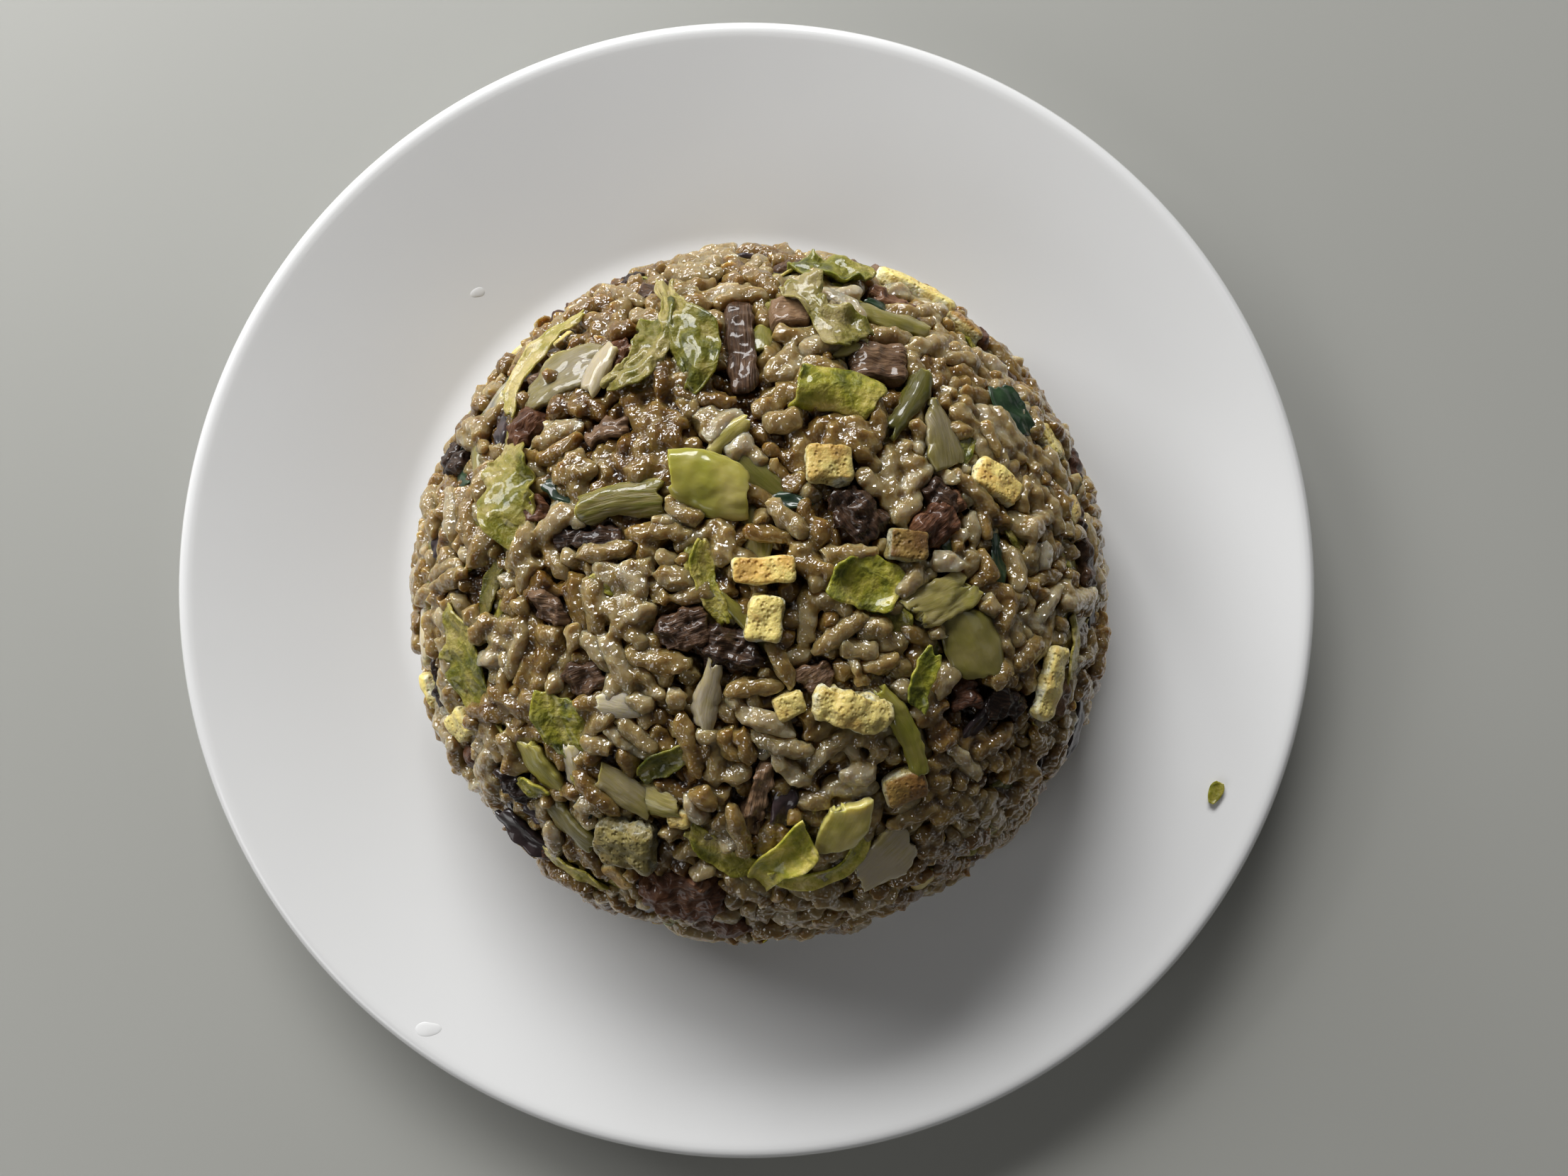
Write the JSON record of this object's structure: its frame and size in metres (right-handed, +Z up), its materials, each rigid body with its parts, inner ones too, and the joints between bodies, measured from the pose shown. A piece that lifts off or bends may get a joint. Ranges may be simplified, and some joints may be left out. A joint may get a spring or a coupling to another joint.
{
  "type": "fried rice plate",
  "caption": "Dome of fried rice with cabbage, egg, mushroom, wood ear and meat, turned out onto a round white plate with a wide rim.",
  "frame": {"origin": "on the surface the plate stands on, under the centre of the plate", "axes": "+Z up; +X to the right and +Y away as the dish is laid in front of someone, the leaf scrap on the rim lying to the right"},
  "size_m": [0.206, 0.206, 0.0585],
  "materials": {
    "porcelain": "smooth white glaze with a soft shine",
    "rice": "cooked long grains, slightly oily and shiny, stained beige to brown by sauce",
    "leaf": "cooked cabbage leaf, wet, thin and half see-through, bright yellow-green",
    "stalk": "cooked cabbage stalk and heart, glassy, pale olive to green",
    "dark_leaf": "dark green leaf, wet",
    "egg": "fried egg, pale yellow and porous with a golden skin",
    "mushroom": "cooked mushroom, brown to grey-purple, wet",
    "meat": "browned meat, reddish brown, moist",
    "wood_ear": "black wood ear, smooth and shiny"
  },
  "bodies": {
    "root": {"plate": "porcelain", "rice_heap": "rice", "dark_leaf_right": "dark_leaf", "dark_leaf_slit": "dark_leaf", "ear_left_bottom": "wood_ear", "ear_right": "wood_ear", "egg_cube_centre": "egg", "egg_cube_tan": "egg", "egg_cube_yellow": "egg", "egg_edge_left": "egg", "egg_flake_right": "egg", "egg_lump": "egg", "egg_porous": "egg", "egg_right": "egg", "egg_slab": "egg", "egg_strip_top": "egg", "heart_green": "stalk", "leaf_bright_left": "leaf", "leaf_crumb_on_rim": "leaf", "leaf_crumpled": "leaf", "leaf_curl_mid": "leaf", "leaf_curl_pale": "leaf", "leaf_edge_bright": "leaf", "leaf_film_edge": "leaf", "leaf_folded": "leaf", "leaf_folded_bottom": "leaf", "leaf_green_top": "leaf", "leaf_hero_left": "leaf", "leaf_hero_right": "leaf", "leaf_hero_top": "leaf", "leaf_long_bottom": "leaf", "leaf_olive_strip": "leaf", "leaf_pale_edge": "leaf", "leaf_ribbon": "leaf", "leaf_silver_right": "leaf", "leaf_strip_left": "leaf", "leaf_top_edge": "leaf", "leaf_twisted": "leaf", "meat_large": "meat", "meat_red": "meat", "mushroom_black": "mushroom", "mushroom_cube": "mushroom", "mushroom_dark": "mushroom", "mushroom_purple": "mushroom", "mushroom_strip": "mushroom", "onion_bottom": "stalk", "stalk_fibrous": "stalk", "stalk_glossy": "stalk", "stalk_green_right": "stalk", "stalk_left_bottom": "stalk", "stalk_left_low": "stalk", "stalk_middle": "stalk", "stalk_olive": "stalk", "stalk_pear": "stalk", "stalk_pentagon": "stalk", "stalk_translucent": "stalk", "stalk_white": "stalk", "stalk_yellow": "stalk", "strand_long": "stalk"}
  },
  "joints": []
}
